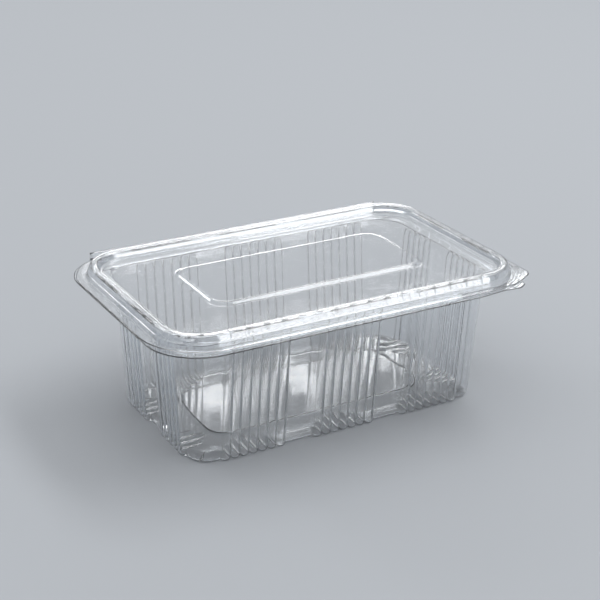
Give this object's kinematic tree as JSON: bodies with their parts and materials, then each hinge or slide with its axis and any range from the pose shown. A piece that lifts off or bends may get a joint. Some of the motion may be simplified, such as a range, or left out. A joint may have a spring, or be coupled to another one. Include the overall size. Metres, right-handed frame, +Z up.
{
  "type": "hinged clamshell pack",
  "caption": "Clear hinged food pack: a tapered, fluted rectangular tray and a recessed lid of one thermoformed sheet, folded along one long side.",
  "frame": {"origin": "middle of the pack's outline in plan, at the level it stands on", "axes": "+X along the long sides, +Y towards the hinge at the back, +Z up"},
  "size_m": [0.209, 0.1368, 0.075],
  "materials": {
    "tray_sheet": "clear gloss thermoformed sheet",
    "lid_sheet": "clear gloss thermoformed sheet"
  },
  "bodies": {
    "tray": {"tray": "tray_sheet"},
    "lid": {"lid": "lid_sheet"}
  },
  "joints": [
    {"name": "lid_fold", "type": "hinge", "parent": "tray", "child": "lid", "pos_m": [0, 0.06855, 0.0684], "axis": [-1, 0, 0], "range_deg": [0, 180]}
  ]
}
